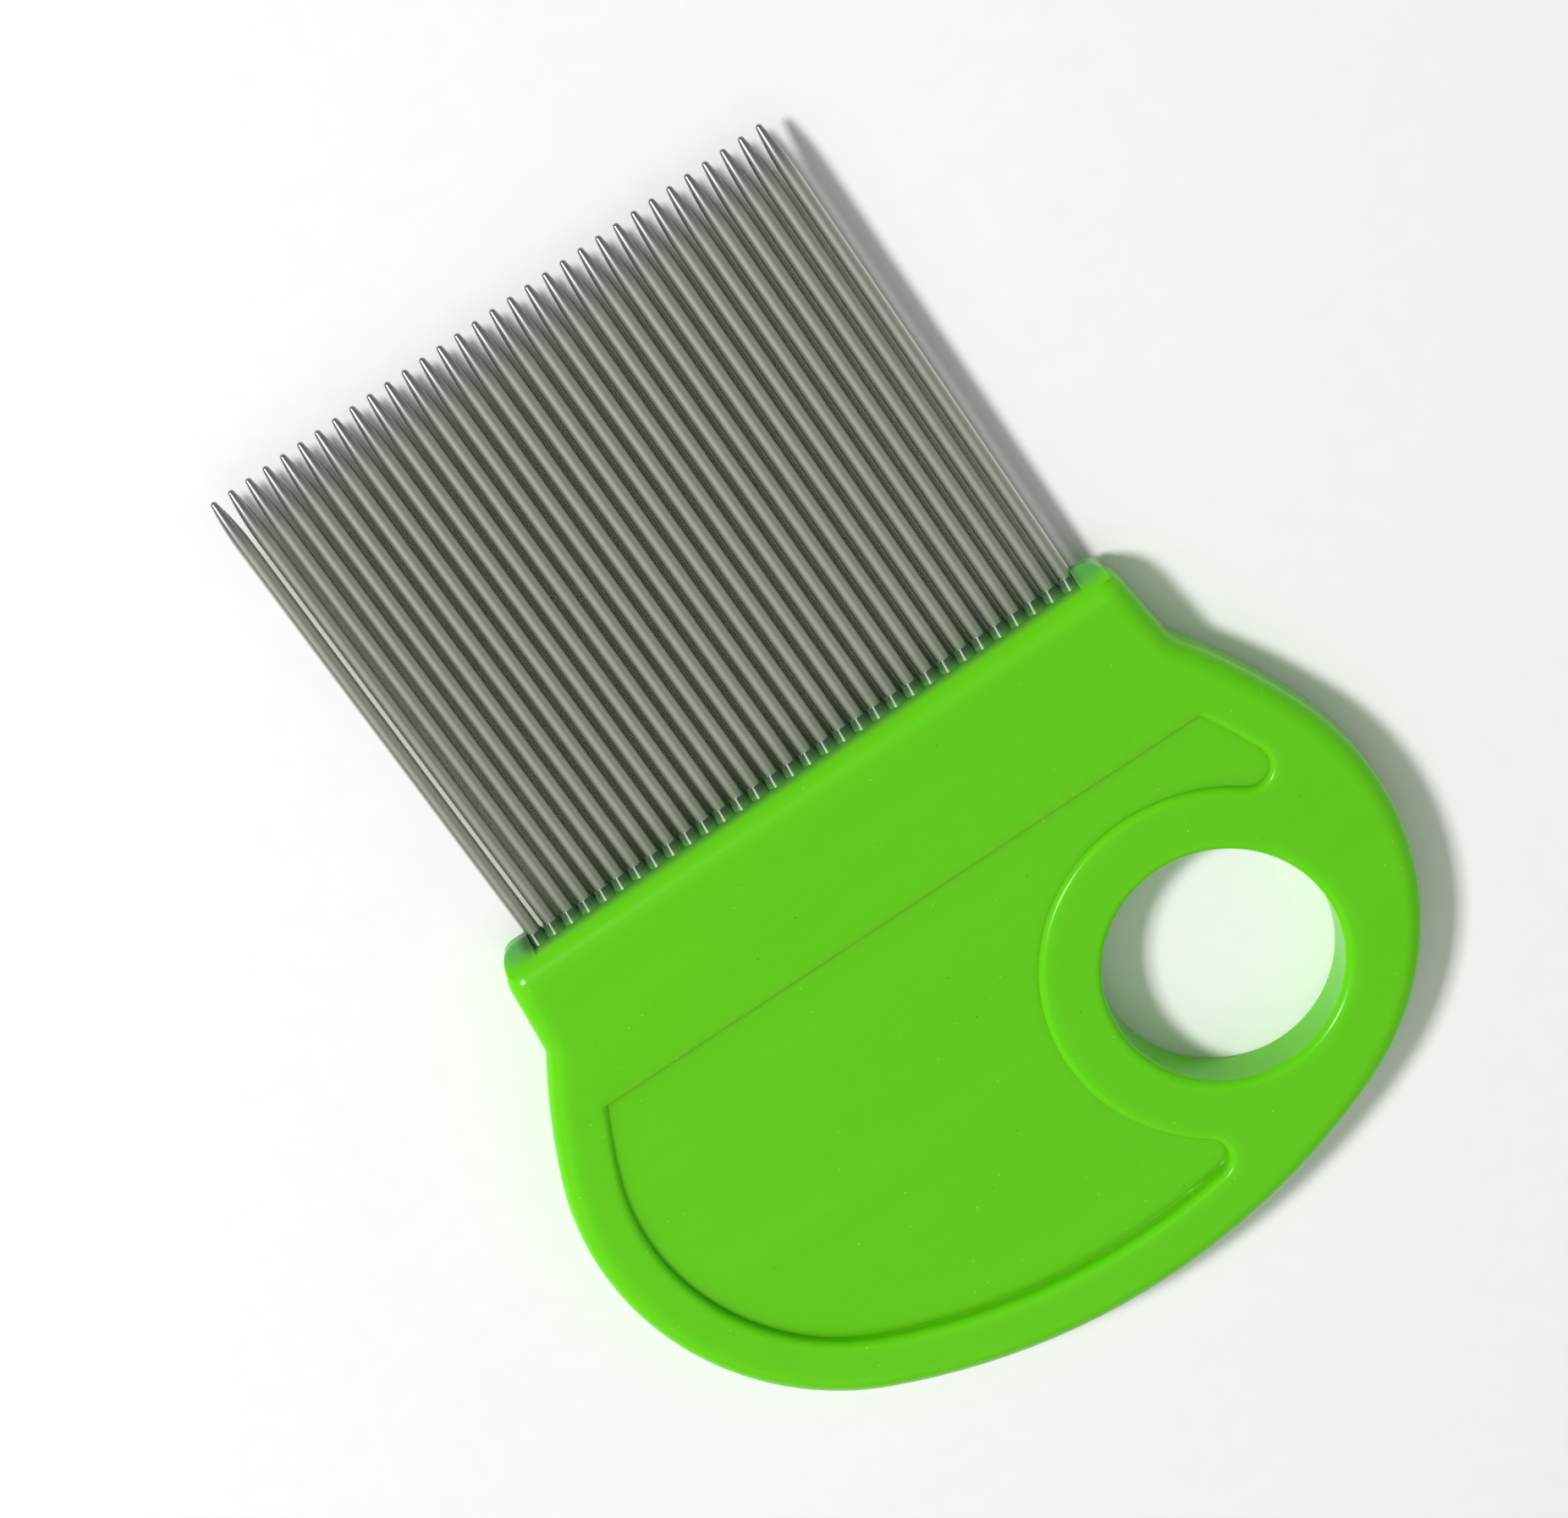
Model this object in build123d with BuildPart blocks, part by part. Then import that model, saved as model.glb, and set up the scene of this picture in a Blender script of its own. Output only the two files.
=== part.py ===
from build123d import *

import math
import os

# Flea comb: a row of steel pins moulded into the neck of a flat plastic handle.
# It lies flat on XY. +X runs along the row of pins, +Y runs from the handle to the pin tips,
# and Z = 0 is the underside that rests on a table. All sizes are in millimetres.

# Overall
OVERALL_LENGTH = 97.3
HANDLE_LENGTH = 53.45
THICKNESS = 6.0

# Row of pins
PIN_COUNT = 32
PIN_PITCH = 1.65
PIN_ROW_SHIFT = 0.27
PIN_RADIUS = 0.65
PIN_EMBEDDED = 10.0
PIN_ROOT_CHAMFER = 0.2
GROOVE_DEPTH = 0.12
GROOVE_WIDTH = 0.8
GROOVE_FROM_ROOT = 2.5
TAPER_LENGTH = 4.5
TIP_RADIUS = 0.27

# Handle outline: a straight neck, then an oval made of tangent arcs
NECK_HALF_WIDTH = 29.2
SHOULDER_HALF_WIDTH = 30.1
NECK_LENGTH = 7.55
SHOULDER_FILLET = 1.2
BODY_HALF_WIDTH = 37.5
END_ARC_RADIUS = 57.0
SIDE_ARC_RADIUS = 23.5
FLANK_ARC_RADIUS = 59.0
NOSE_RADIUS = 2.0
EDGE_RADIUS = 1.7

# Plastic that reaches past the nose: a conical collar round each pin and a cheek at each end
COLLAR_LENGTH = 0.95
COLLAR_TIP_RADIUS = 0.71
COLLAR_BASE_RADIUS = 1.04
COLLAR_BURIED = 0.5
CHEEK_OUTER_X = 28.8
CHEEK_LENGTH = 1.2
CHEEK_BURIED = 0.59
CHEEK_TIP_HEIGHT = 1.24
CHEEK_BASE_HEIGHT = 4.82
CHEEK_CORNER_RADIUS = 1.6
CHEEK_OVERLAP = 0.1

# Finger hole and the raised ring round it
HOLE_RADIUS = 9.85
HOLE_EDGE_RADIUS = 0.7
HOLE_X = 18.9
HOLE_FROM_END = 20.7
RING_RADIUS = 15.05

# Recessed panel, the same on both faces: its floor rises toward a low step behind the neck
PANEL_BEHIND_NECK = 13.7
PANEL_MARGIN = 4.8
PANEL_FRONT_DEPTH = 0.4
PANEL_BACK_DEPTH = 1.6
PANEL_MOUTH_RADIUS = 0.6
PANEL_FLOOR_RADIUS = 0.4
PANEL_CUT_AHEAD = 3.0
PANEL_FILL_MARGIN = 1.5
PANEL_TIP_RADIUS = 1.7

# Worked out from the sizes above
TIP_Y = OVERALL_LENGTH / 2
END_Y = -OVERALL_LENGTH / 2
NECK_FRONT_Y = END_Y + HANDLE_LENGTH
SHOULDER_Y = NECK_FRONT_Y - NECK_LENGTH
PANEL_FRONT_Y = NECK_FRONT_Y - PANEL_BEHIND_NECK
HOLE_Y = END_Y + HOLE_FROM_END
MID_Z = THICKNESS / 2

os.makedirs("parts", exist_ok=True)


def save(piece, name):
    """Label a finished piece and write it as one STEP file."""
    piece.part.label = name
    export_step(piece.part, f"parts/{name}.step")


def point_on(centre, radius, angle):
    """Point on a circle, with the angle in radians from +X."""
    return (centre[0] + radius * math.cos(angle), centre[1] + radius * math.sin(angle))


def outline_arcs():
    """Joints and mid points of the right half of the oval, from the far end to the shoulder."""
    side_x = BODY_HALF_WIDTH - SIDE_ARC_RADIUS
    end_centre = (0, END_Y + END_ARC_RADIUS)
    centre_gap = END_ARC_RADIUS - SIDE_ARC_RADIUS
    side_centre = (side_x, end_centre[1] - math.sqrt(centre_gap**2 - side_x**2))
    end_angle = math.atan2(side_centre[1] - end_centre[1], side_x)

    # The flank arc passes through the shoulder and touches the side arc from outside.
    shoulder = (SHOULDER_HALF_WIDTH, SHOULDER_Y)
    flank_gap = FLANK_ARC_RADIUS - SIDE_ARC_RADIUS
    across = math.dist(shoulder, side_centre)
    toward = math.atan2(shoulder[1] - side_centre[1], shoulder[0] - side_centre[0])
    inner_cos = (across**2 + flank_gap**2 - FLANK_ARC_RADIUS**2) / (2 * across * flank_gap)
    flank_centre = point_on(side_centre, flank_gap, toward + math.acos(inner_cos))
    joint_angle = math.atan2(side_centre[1] - flank_centre[1], side_centre[0] - flank_centre[0])
    shoulder_angle = math.atan2(shoulder[1] - flank_centre[1], shoulder[0] - flank_centre[0])

    return {
        "end": (0, END_Y),
        "end_mid": point_on(end_centre, END_ARC_RADIUS, (end_angle - math.pi / 2) / 2),
        "end_side": point_on(side_centre, SIDE_ARC_RADIUS, end_angle),
        "side_mid": point_on(side_centre, SIDE_ARC_RADIUS, (end_angle + joint_angle) / 2),
        "side_flank": point_on(side_centre, SIDE_ARC_RADIUS, joint_angle),
        "flank_mid": point_on(flank_centre, FLANK_ARC_RADIUS, (joint_angle + shoulder_angle) / 2),
        "shoulder": shoulder,
    }


arcs = outline_arcs()

# Flat outline of the whole handle, seen from above
with BuildSketch(Plane.XY) as handle_outline:
    with BuildLine() as half_outline:
        ThreePointArc(arcs["end"], arcs["end_mid"], arcs["end_side"])
        ThreePointArc(arcs["end_side"], arcs["side_mid"], arcs["side_flank"])
        ThreePointArc(arcs["side_flank"], arcs["flank_mid"], arcs["shoulder"])
        Line(arcs["shoulder"], (NECK_HALF_WIDTH, NECK_FRONT_Y))
        Line((NECK_HALF_WIDTH, NECK_FRONT_Y), (0, NECK_FRONT_Y))
        Line((0, NECK_FRONT_Y), arcs["end"])
    make_face()
    mirror(about=Plane.YZ)

# Flat outline of the recessed panel: the oval set in by a margin, cut round along the ring,
# with its two tips rounded by shrinking and growing it again, then cut straight across a little
# ahead of the step behind the neck
with BuildSketch(Plane.XY) as panel_outline:
    add(handle_outline.sketch)
    offset(amount=-PANEL_MARGIN, mode=Mode.REPLACE)
    with Locations((HOLE_X, HOLE_Y)):
        Circle(RING_RADIUS, mode=Mode.SUBTRACT)
    offset(amount=-PANEL_TIP_RADIUS, mode=Mode.REPLACE)
    offset(amount=PANEL_TIP_RADIUS, mode=Mode.REPLACE)
    with Locations((0, PANEL_FRONT_Y + PANEL_CUT_AHEAD)):
        Rectangle(
            2 * BODY_HALF_WIDTH, HANDLE_LENGTH, align=(Align.CENTER, Align.MIN), mode=Mode.SUBTRACT
        )

# ---- Pins: one steel pin per tooth, moulded into the neck -------------------------------
root_y = NECK_FRONT_Y - PIN_EMBEDDED
groove_y = root_y + GROOVE_FROM_ROOT
taper_y = TIP_Y - TAPER_LENGTH
groove_radius = PIN_RADIUS - GROOVE_DEPTH
row_half = PIN_PITCH * (PIN_COUNT - 1) / 2
first_pin_x = PIN_ROW_SHIFT - row_half
last_pin_x = PIN_ROW_SHIFT + row_half
pins = []

for number in range(PIN_COUNT):
    pin_x = first_pin_x + number * PIN_PITCH
    pin_plane = Plane(origin=(pin_x, 0, MID_Z), x_dir=(0, 1, 0), z_dir=(0, 0, 1))
    with BuildPart() as pin:
        with BuildSketch(pin_plane) as half_profile:
            with BuildLine():
                Polyline(
                    (TIP_Y, 0),
                    (root_y, 0),
                    (root_y, PIN_RADIUS - PIN_ROOT_CHAMFER),
                    (root_y + PIN_ROOT_CHAMFER, PIN_RADIUS),
                    (groove_y, PIN_RADIUS),
                    (groove_y + GROOVE_DEPTH, groove_radius),
                    (groove_y + GROOVE_WIDTH - GROOVE_DEPTH, groove_radius),
                    (groove_y + GROOVE_WIDTH, PIN_RADIUS),
                    (taper_y, PIN_RADIUS),
                )
                taper = TangentArc((taper_y, PIN_RADIUS), (TIP_Y - TIP_RADIUS, TIP_RADIUS), tangent=(1, 0))
                ThreePointArc(
                    taper @ 1,
                    (TIP_Y - TIP_RADIUS * (1 - math.sin(math.pi / 4)), TIP_RADIUS * math.cos(math.pi / 4)),
                    (TIP_Y, 0),
                )
            make_face()
        revolve(axis=Axis((pin_x, 0, MID_Z), (0, 1, 0)))
    save(pin, f"tooth_{number + 1:02d}")
    pins.append(pin.part)

# ---- Collar: the short cone of plastic round the foot of one pin, set on the first pin --------
collar_plane = Plane(origin=(first_pin_x, 0, MID_Z), x_dir=(0, 1, 0), z_dir=(0, 0, 1))
with BuildPart() as collar:
    with BuildSketch(collar_plane):
        with BuildLine():
            Polyline(
                (NECK_FRONT_Y - COLLAR_BURIED, 0),
                (NECK_FRONT_Y - COLLAR_BURIED, COLLAR_BASE_RADIUS),
                (NECK_FRONT_Y, COLLAR_BASE_RADIUS),
                (NECK_FRONT_Y + COLLAR_LENGTH, COLLAR_TIP_RADIUS),
                (NECK_FRONT_Y + COLLAR_LENGTH, 0),
                close=True,
            )
        make_face()
    revolve(axis=Axis((first_pin_x, 0, MID_Z), (0, 1, 0)))

# ---- Cheeks: a tapered lip of plastic beyond the pin at each end of the row -------------------
cheeks = []
for side, pin_x in ((-1, first_pin_x), (1, last_pin_x)):
    inner_x = pin_x + side * (PIN_RADIUS - CHEEK_OVERLAP)
    outer_x = side * CHEEK_OUTER_X
    with BuildPart() as cheek:
        with BuildSketch(Plane.XY):
            with Locations(((inner_x + outer_x) / 2, NECK_FRONT_Y - CHEEK_BURIED)):
                Rectangle(
                    abs(outer_x - inner_x),
                    CHEEK_BURIED + CHEEK_LENGTH,
                    align=(Align.CENTER, Align.MIN),
                )
        extrude(amount=THICKNESS)
        front_corners = cheek.edges().filter_by(Axis.Z).group_by(Axis.Y)[-1]
        outer_corner = max(front_corners, key=lambda edge: abs(edge.center().X))
        fillet(outer_corner, radius=CHEEK_CORNER_RADIUS)
        with BuildSketch(Plane.YZ.offset(-BODY_HALF_WIDTH)):
            with BuildLine():
                Polyline(
                    (NECK_FRONT_Y - CHEEK_BURIED, MID_Z - CHEEK_BASE_HEIGHT / 2),
                    (NECK_FRONT_Y + CHEEK_LENGTH, MID_Z - CHEEK_TIP_HEIGHT / 2),
                    (NECK_FRONT_Y + CHEEK_LENGTH, MID_Z + CHEEK_TIP_HEIGHT / 2),
                    (NECK_FRONT_Y - CHEEK_BURIED, MID_Z + CHEEK_BASE_HEIGHT / 2),
                    close=True,
                )
            make_face()
        extrude(amount=2 * BODY_HALF_WIDTH, mode=Mode.INTERSECT)
    cheeks.append(cheek.part)

# ---- Panel floor: plastic that fills the front of the recess up to the step, then falls away ---
panel_back_y = END_Y + PANEL_MARGIN
fill_front_y = PANEL_FRONT_Y + PANEL_CUT_AHEAD + PANEL_FILL_MARGIN
with BuildPart() as panel_floor:
    with BuildSketch(Plane.XY):
        add(panel_outline.sketch)
        offset(amount=PANEL_FILL_MARGIN, mode=Mode.REPLACE)
    extrude(amount=THICKNESS)
    with BuildSketch(Plane.YZ.offset(-BODY_HALF_WIDTH)):
        with BuildLine():
            Polyline(
                (fill_front_y, THICKNESS),
                (PANEL_FRONT_Y, THICKNESS),
                (PANEL_FRONT_Y, THICKNESS - PANEL_FRONT_DEPTH),
                (panel_back_y, THICKNESS - PANEL_BACK_DEPTH),
                (panel_back_y, MID_Z),
                (fill_front_y, MID_Z),
                close=True,
            )
        make_face()
    extrude(amount=2 * BODY_HALF_WIDTH, mode=Mode.INTERSECT)

# ---- Handle: one moulding -----------------------------------------------------------------
with BuildPart() as handle:
    add(handle_outline.sketch)
    extrude(amount=THICKNESS)
    shoulders = [
        edge
        for edge in handle.edges().filter_by(Axis.Z)
        if math.dist((abs(edge.center().X), edge.center().Y), arcs["shoulder"]) < SHOULDER_FILLET
    ]
    fillet(shoulders, radius=SHOULDER_FILLET)

    # Rounded nose along the front of the neck, then a softened rim all the way round the rest
    fillet(handle.edges().filter_by(Axis.X).group_by(Axis.Y)[-1], radius=NOSE_RADIUS)
    walls = handle.faces().filter_by(
        lambda face: abs(face.normal_at().Z) < 0.01 and face.center().Y < NECK_FRONT_Y - EDGE_RADIUS
    )
    rim = walls.edges().filter_by(Axis.Z, reverse=True)
    front_corners = walls.edges().filter_by(Axis.Z).group_by(Axis.Y)[-1]
    fillet(rim + front_corners, radius=EDGE_RADIUS)

    # Recessed panel in the top face and in the underside, with softened mouth and floor edges
    for face_z, cut in ((THICKNESS, -PANEL_BACK_DEPTH), (0, PANEL_BACK_DEPTH)):
        with BuildSketch(Plane.XY.offset(face_z)):
            add(panel_outline.sketch)
        extrude(amount=cut, mode=Mode.SUBTRACT)
        mouth, floor = sorted(
            handle.edges(Select.LAST).filter_by(Axis.Z, reverse=True).group_by(Axis.Z),
            key=lambda loop: abs(loop[0].center().Z - face_z),
        )
        fillet(floor, radius=PANEL_FLOOR_RADIUS)
        fillet(mouth, radius=PANEL_MOUTH_RADIUS)
    add(panel_floor.part)
    add(mirror(panel_floor.part, about=Plane.XY.offset(MID_Z), mode=Mode.PRIVATE))

    # Finger hole
    with Locations((HOLE_X, HOLE_Y, THICKNESS)):
        Hole(HOLE_RADIUS)
    hole_edges = handle.edges().filter_by(GeomType.CIRCLE).filter_by(
        lambda edge: abs(edge.radius - HOLE_RADIUS) < 0.01
    )
    fillet(hole_edges, radius=HOLE_EDGE_RADIUS)

    # Plastic past the nose
    for cheek_part in cheeks:
        add(cheek_part)
    for number in range(PIN_COUNT):
        add(Pos(number * PIN_PITCH, 0, 0) * collar.part)

    # The plastic fills every gap round the buried roots of the pins
    for pin_part in pins:
        add(pin_part, mode=Mode.SUBTRACT)
save(handle, "handle")
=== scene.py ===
import math

import bpy
from mathutils import Matrix, Vector


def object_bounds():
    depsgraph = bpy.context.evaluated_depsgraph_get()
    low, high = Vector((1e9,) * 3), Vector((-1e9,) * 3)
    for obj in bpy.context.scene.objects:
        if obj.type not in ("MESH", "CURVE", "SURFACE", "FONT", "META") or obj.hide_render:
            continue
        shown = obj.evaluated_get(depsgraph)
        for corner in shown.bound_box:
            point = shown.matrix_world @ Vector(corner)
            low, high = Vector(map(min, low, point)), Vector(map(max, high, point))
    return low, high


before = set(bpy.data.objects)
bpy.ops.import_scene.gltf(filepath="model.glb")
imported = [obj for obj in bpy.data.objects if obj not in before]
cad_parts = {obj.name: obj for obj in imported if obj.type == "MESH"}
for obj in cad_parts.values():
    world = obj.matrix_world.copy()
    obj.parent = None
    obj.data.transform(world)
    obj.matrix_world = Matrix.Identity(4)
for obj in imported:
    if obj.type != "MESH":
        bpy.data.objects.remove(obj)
cad_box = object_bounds()
low, high = cad_box
centre = (low + high) / 2

IMAGE_WIDTH = 1853
HEADING = math.radians(55.7)  # the way the picture's top points, in plan, from +X

scene = bpy.context.scene
scene.view_settings.view_transform = "Standard"
scene.view_settings.look = "None"


def from_angles(azimuth, elevation):
    """Unit vector with its azimuth from +X and its elevation above the table, in radians."""
    flat = math.cos(elevation)
    return Vector((flat * math.cos(azimuth), flat * math.sin(azimuth), math.sin(elevation)))


def facing(place, target, up):
    """Matrix of an object at place that looks along its own -Z at target, with +Y near up."""
    back = (place - target).normalized()
    right = up.cross(back).normalized()
    turn = Matrix((right, back.cross(right), back)).transposed()
    return Matrix.Translation(place) @ turn.to_4x4()


# ---- Camera -------------------------------------------------------------------------------
AIM = centre + Vector((-0.0007, 0.0061, 0.0))
CAMERA_AZIMUTH = math.radians(64.6)
CAMERA_ELEVATION = math.radians(73.5)
CAMERA_DISTANCE = 0.3026
FOCAL_PIXELS = 4500
SENSOR_WIDTH = 36.0

camera = bpy.data.objects.new("camera", bpy.data.cameras.new("camera"))
scene.collection.objects.link(camera)
camera.data.sensor_width = SENSOR_WIDTH
camera.data.lens = FOCAL_PIXELS / IMAGE_WIDTH * SENSOR_WIDTH
camera.data.clip_start = 0.01
camera.matrix_world = facing(
    AIM + CAMERA_DISTANCE * from_angles(CAMERA_AZIMUTH, CAMERA_ELEVATION),
    AIM,
    from_angles(HEADING, 0),
)
scene.camera = camera


# ---- Light --------------------------------------------------------------------------------
NEARLY_UP = Vector((0.01, 0.02, 1))  # never quite parallel to a beam


def soft_box(name, azimuth, elevation, distance, size, card):
    """Square light in a direction; card is how bright it makes a white card that faces it."""
    lamp = bpy.data.lights.new(name, "AREA")
    lamp.shape = "SQUARE"
    lamp.size = size
    lamp.energy = card * math.pi**2 * distance**2
    box = bpy.data.objects.new(name, lamp)
    scene.collection.objects.link(box)
    spot = centre + distance * from_angles(azimuth, elevation)
    box.matrix_world = facing(spot, centre, NEARLY_UP)


KEY_AZIMUTH = math.radians(142)
KEY_ELEVATION = math.radians(52)
KEY_DISTANCE = 0.9
KEY_SIZE = 0.16
KEY_CARD = 0.80
soft_box("key_box", KEY_AZIMUTH, KEY_ELEVATION, KEY_DISTANCE, KEY_SIZE, KEY_CARD)

SURROUNDINGS = 0.25  # strength everywhere, before the patches are added
SURROUNDINGS_COLOUR = (1.0, 1.0, 0.97)
LIGHT_PATCHES = (  # direction, cosine where the glow starts, cosine where it is full, strength
    ((-0.35, -0.26, 0.90), 0.55, 0.95, 0.33),  # the ceiling, broad
    ((-0.10, -0.55, 0.83), 0.972, 0.992, 0.25),  # above the handle, small
    ((0.89, -0.26, 0.39), 0.75, 0.97, 0.20),  # low, beyond the last pin
)


def studio_world():
    """Dim surroundings with three faint brighter patches."""
    world = bpy.data.worlds.new("studio")
    world.use_nodes = True
    tree = world.node_tree
    link = tree.links.new
    outward = tree.nodes.new("ShaderNodeTexCoord").outputs["Generated"]

    def patch(direction, start, full, strength):
        toward = tree.nodes.new("ShaderNodeVectorMath")
        toward.operation = "DOT_PRODUCT"
        toward.inputs[1].default_value = Vector(direction).normalized()
        link(outward, toward.inputs[0])
        glow = tree.nodes.new("ShaderNodeMapRange")
        glow.interpolation_type = "SMOOTHSTEP"
        glow.inputs["From Min"].default_value = start
        glow.inputs["From Max"].default_value = full
        glow.inputs["To Max"].default_value = strength
        link(toward.outputs["Value"], glow.inputs["Value"])
        return glow.outputs["Result"]

    def plus(first, second):
        total = tree.nodes.new("ShaderNodeMath")
        total.operation = "ADD"
        link(first, total.inputs[0])
        if isinstance(second, float):
            total.inputs[1].default_value = second
        else:
            link(second, total.inputs[1])
        return total.outputs["Value"]

    ceiling, handle_side, row_side = (patch(*values) for values in LIGHT_PATCHES)
    strength = plus(plus(plus(ceiling, handle_side), row_side), SURROUNDINGS)
    background = tree.nodes["Background"]
    background.inputs["Color"].default_value = (*SURROUNDINGS_COLOUR, 1)
    link(strength, background.inputs["Strength"])
    return world


scene.world = studio_world()


# ---- Materials ----------------------------------------------------------------------------
class Nodes:
    """Short way to add and join the nodes of one material."""

    def __init__(self, name):
        self.material = bpy.data.materials.new(name)
        self.material.use_nodes = True
        self.tree = self.material.node_tree
        self.shader = self.tree.nodes["Principled BSDF"]

    def add(self, kind, values=None, **settings):
        node = self.tree.nodes.new(kind)
        for key, value in settings.items():
            setattr(node, key, value)
        for socket, value in (values or {}).items():
            if isinstance(value, bpy.types.NodeSocket):
                self.tree.links.new(value, node.inputs[socket])
            else:
                node.inputs[socket].default_value = value
        return node

    def place(self):
        """Position in the comb's own frame, in metres."""
        return self.add("ShaderNodeTexCoord").outputs["Object"]

    def noise(self, vector, scale, detail):
        sockets = {"Vector": vector, "Scale": scale, "Detail": detail}
        return self.add("ShaderNodeTexNoise", sockets).outputs["Fac"]

    def stretched_noise(self, vector, scales, detail):
        """Noise with its own scale along X, Y and Z."""
        mapping = self.add("ShaderNodeMapping", {"Vector": vector, "Scale": scales})
        return self.noise(mapping.outputs["Vector"], 1.0, detail)

    def bump(self, height, strength, distance):
        sockets = {"Height": height, "Strength": strength, "Distance": distance}
        return self.add("ShaderNodeBump", sockets).outputs["Normal"]

    def math(self, operation, first, second):
        return self.add("ShaderNodeMath", {0: first, 1: second}, operation=operation).outputs[0]

    def span(self, value, start, end, from_start=0.0, to_end=1.0):
        """Map start..end onto from_start..to_end, held at both ends."""
        sockets = {"Value": value, "From Min": start, "From Max": end}
        sockets.update({"To Min": from_start, "To Max": to_end})
        return self.add("ShaderNodeMapRange", sockets).outputs["Result"]

    def split(self, vector):
        return self.add("ShaderNodeSeparateXYZ", {"Vector": vector}).outputs

    def mix(self, share, first, second):
        """Blend two colours; each is a socket or three numbers."""
        first, second = (
            colour if isinstance(colour, bpy.types.NodeSocket) else (*colour, 1)
            for colour in (first, second)
        )
        sockets = {0: share, 6: first, 7: second}
        return self.add("ShaderNodeMix", sockets, data_type="RGBA").outputs[2]

    def ramp(self, share, first, second):
        node = self.add("ShaderNodeValToRGB", {"Fac": share})
        node.color_ramp.elements[0].color = (*first, 1)
        node.color_ramp.elements[1].color = (*second, 1)
        return node.outputs["Color"]

    def shade(self, **values):
        """Set the shader's sockets, with an underscore for each space in their names."""
        for socket, value in values.items():
            name = socket.replace("_", " ")
            if isinstance(value, bpy.types.NodeSocket):
                self.tree.links.new(value, self.shader.inputs[name])
            else:
                self.shader.inputs[name].default_value = value


# Where the tints, the painted shade and the painted reflection change, in metres: Y runs along
# the pins, and |X| out to the ends of their row
CHEEKS_Y = (0.0044, 0.0054)
ROOTS_Y = (0.0045, 0.0053)
ROOTS_X = (0.0262, 0.0270)
CLEAR_OF_PLASTIC_Y = (0.0056, 0.0090)
TIP_SHADE_Y = (0.0435, 0.0465)
SHADED_PAPER_X = (0.0250, 0.0265)
SHADED_PAPER_START_Y = (0.0, 0.003)
SHADED_PAPER_END_Y = (0.0420, 0.0460)

LIME_DARK = (0.131, 0.588, 0.004)
LIME_LIGHT = (0.151, 0.622, 0.008)
DUST = (0.26, 0.70, 0.05)
PIT = (0.09, 0.42, 0.01)
# painted shade with a grey painted reflection on the cheeks
CHEEK_PAINTED_SHADE = (0.12, 0.40, 0.10)
# painted shade round the roots of the pins, between them
ROOT_PAINTED_SHADE = (0.06, 0.15, 0.05)
STEEL = (0.51, 0.51, 0.455)
# painted reflection of the green plastic, with painted shade, near the plastic
STEEL_PAINTED_REFLECTION = (0.36, 0.43, 0.32)
# painted shade on the tips, dimming their highlights
STEEL_TIP_PAINTED_SHADE = (0.33, 0.335, 0.335)
PAPER_DARK = (0.90, 0.90, 0.90)
PAPER_LIGHT = (0.94, 0.94, 0.94)
PAPER_SHADED = (0.58, 0.58, 0.55)

# Noise, in cells per metre; three numbers are along X, Y and Z
CLOUD_SCALES = (20.0, 260.0, 60.0)
CLOUD_DETAIL = 4.0
CLOUD_RANGE = (0.3, 0.7)
GRAIN_SCALE = 2500.0
GRAIN_DETAIL = 3.0
STREAK_SCALES = (10000.0, 50.0, 10000.0)
STREAK_DETAIL = 3.0
FIBRE_SCALE = 400.0
FIBRE_DETAIL = 5.0
FLECK_SCALE = 700.0
FLECK_SIZE = 0.06  # in cells
DUST_ABOVE = 0.5
PIT_BELOW = 0.12

GRAIN_BUMP = (0.05, 0.00002)  # strength, and height in metres
STREAK_BUMP = (0.16, 0.00001)
PLASTIC_ROUGHNESS = (0.21, 0.26)
STEEL_ROUGHNESS = (0.26, 0.32)
PAPER_ROUGHNESS = 0.9


def flecked(nodes, place, tint):
    """The tint with tiny specks of dust and fewer, darker pits."""
    cell = nodes.add("ShaderNodeTexVoronoi", {"Vector": place, "Scale": FLECK_SCALE})
    kind = nodes.split(cell.outputs["Color"])[0]
    fleck = nodes.math("LESS_THAN", cell.outputs["Distance"], FLECK_SIZE)
    dust = nodes.math("MULTIPLY", fleck, nodes.math("GREATER_THAN", kind, DUST_ABOVE))
    pit = nodes.math("MULTIPLY", fleck, nodes.math("LESS_THAN", kind, PIT_BELOW))
    return nodes.mix(pit, nodes.mix(dust, tint, DUST), PIT)


def painted_front_shade(nodes, place, colour):
    """The colour, with painted shade and a grey painted reflection on the two cheeks, and
    painted shade round the roots of the pins.
    """
    across, along, _ = nodes.split(place)
    cheeks = nodes.span(along, *CHEEKS_Y)
    row = nodes.span(nodes.math("ABSOLUTE", across, 0.0), *ROOTS_X, 1.0, 0.0)
    roots = nodes.math("MULTIPLY", nodes.span(along, *ROOTS_Y), row)
    return nodes.mix(roots, nodes.mix(cheeks, colour, CHEEK_PAINTED_SHADE), ROOT_PAINTED_SHADE)


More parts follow.
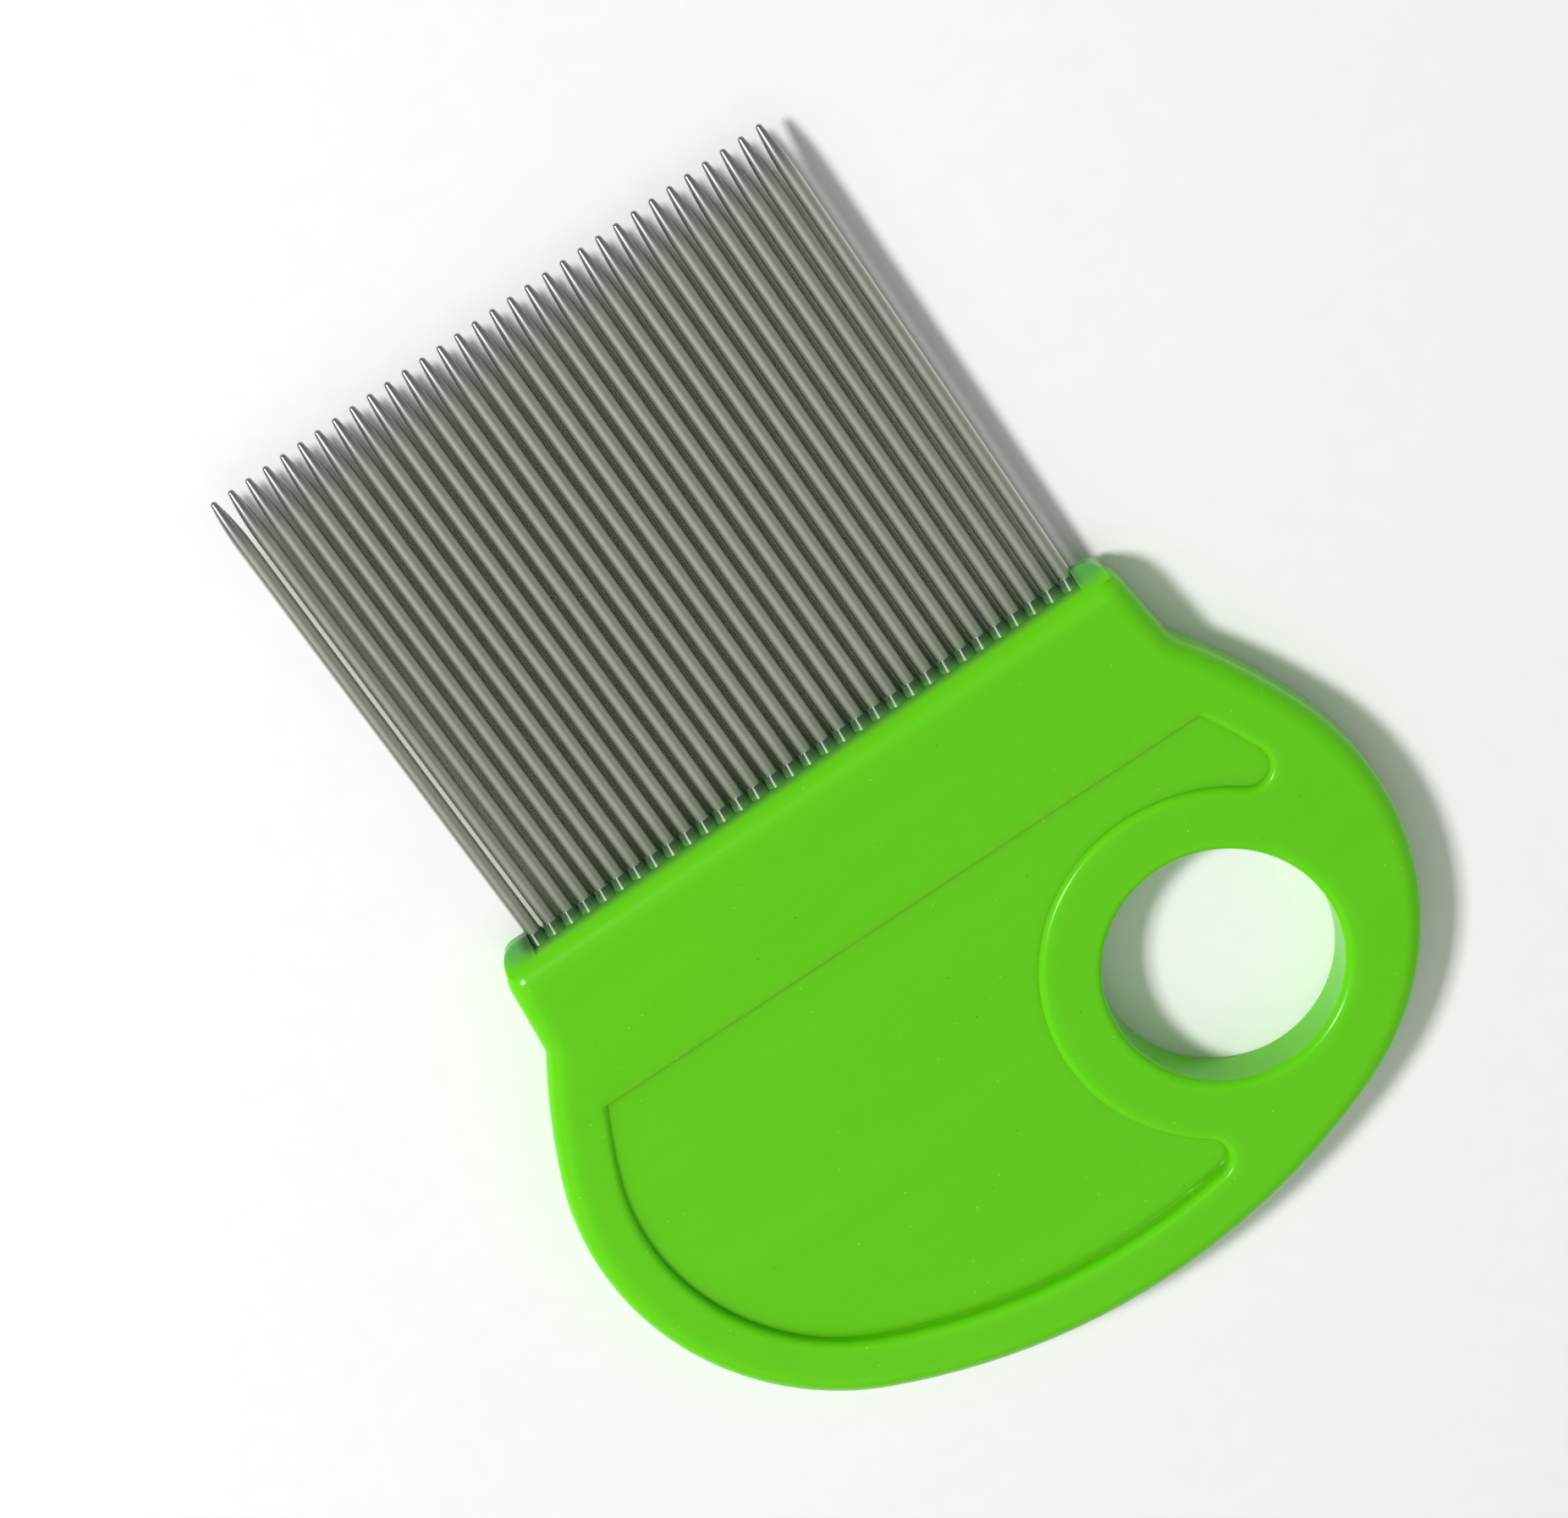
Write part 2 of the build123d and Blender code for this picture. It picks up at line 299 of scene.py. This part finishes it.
def plastic_material():
    """Glossy, faintly cloudy lime plastic that lets light in, with a few specks of dust, and
    painted shade on the cheeks and round the pin roots.
    """
    nodes = Nodes("lime_plastic")
    place = nodes.place()
    cloud = nodes.stretched_noise(place, CLOUD_SCALES, CLOUD_DETAIL)
    tint = nodes.ramp(cloud, LIME_DARK, LIME_LIGHT)
    grain = nodes.noise(place, GRAIN_SCALE, GRAIN_DETAIL)
    nodes.shade(
        Base_Color=painted_front_shade(nodes, place, flecked(nodes, place, tint)),
        Roughness=nodes.span(cloud, *CLOUD_RANGE, *PLASTIC_ROUGHNESS),
        Normal=nodes.bump(grain, *GRAIN_BUMP),
        Specular_IOR_Level=0.22,
        Subsurface_Weight=1.0,
        Subsurface_Radius=(0.5, 1.0, 0.3),
        Subsurface_Scale=0.003,
    )
    return nodes.material


def steel_material():
    """Drawn wire, streaked along its length, painted darker and greener near the plastic as a
    reflection of it, and painted darker on the tips to dim their highlights.
    """
    nodes = Nodes("drawn_steel")
    place = nodes.place()
    streak = nodes.stretched_noise(place, STREAK_SCALES, STREAK_DETAIL)
    along = nodes.split(place)[1]
    wire = nodes.mix(nodes.span(along, *CLEAR_OF_PLASTIC_Y), STEEL_PAINTED_REFLECTION, STEEL)
    nodes.shade(
        Base_Color=nodes.mix(nodes.span(along, *TIP_SHADE_Y), wire, STEEL_TIP_PAINTED_SHADE),
        Metallic=1.0,
        Roughness=nodes.span(streak, 0.0, 1.0, *STEEL_ROUGHNESS),
        Normal=nodes.bump(streak, *STREAK_BUMP),
    )
    return nodes.material


def floor_material():
    """Pale paper with fine fibres, with painted shade where it shows through the row of pins.
    """
    nodes = Nodes("pale_paper")
    place = nodes.place()
    fibre = nodes.noise(place, FIBRE_SCALE, FIBRE_DETAIL)
    tint = nodes.ramp(fibre, PAPER_DARK, PAPER_LIGHT)
    across, along, _ = nodes.split(place)
    # painted shade on the paper under the row of pins
    under_row = nodes.span(nodes.math("ABSOLUTE", across, 0.0), *SHADED_PAPER_X, 1.0, 0.0)
    before_tips = nodes.span(along, *SHADED_PAPER_END_Y, 1.0, 0.0)
    past_neck = nodes.span(along, *SHADED_PAPER_START_Y)
    shaded = nodes.math("MULTIPLY", nodes.math("MULTIPLY", under_row, before_tips), past_neck)
    nodes.shade(Base_Color=nodes.mix(shaded, tint, PAPER_SHADED), Roughness=PAPER_ROUGHNESS)
    return nodes.material


def paint(piece, material):
    piece.data.materials.clear()
    piece.data.materials.append(material)


plastic = plastic_material()
steel = steel_material()
for name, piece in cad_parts.items():
    paint(piece, plastic if name == "handle" else steel)

# ---- Floor --------------------------------------------------------------------------------
FLOOR_HALF = 1.5
FLOOR_GAP = 0.00002  # keeps the paper just clear of the underside


def make_floor():
    signs = ((-1, -1), (1, -1), (1, 1), (-1, 1))
    corners = [(x * FLOOR_HALF, y * FLOOR_HALF, low.z - FLOOR_GAP) for x, y in signs]
    mesh = bpy.data.meshes.new("floor")
    mesh.from_pydata(corners, [], [(0, 1, 2, 3)])
    paper = bpy.data.objects.new("floor", mesh)
    scene.collection.objects.link(paper)
    paint(paper, floor_material())
    return paper


floor = make_floor()
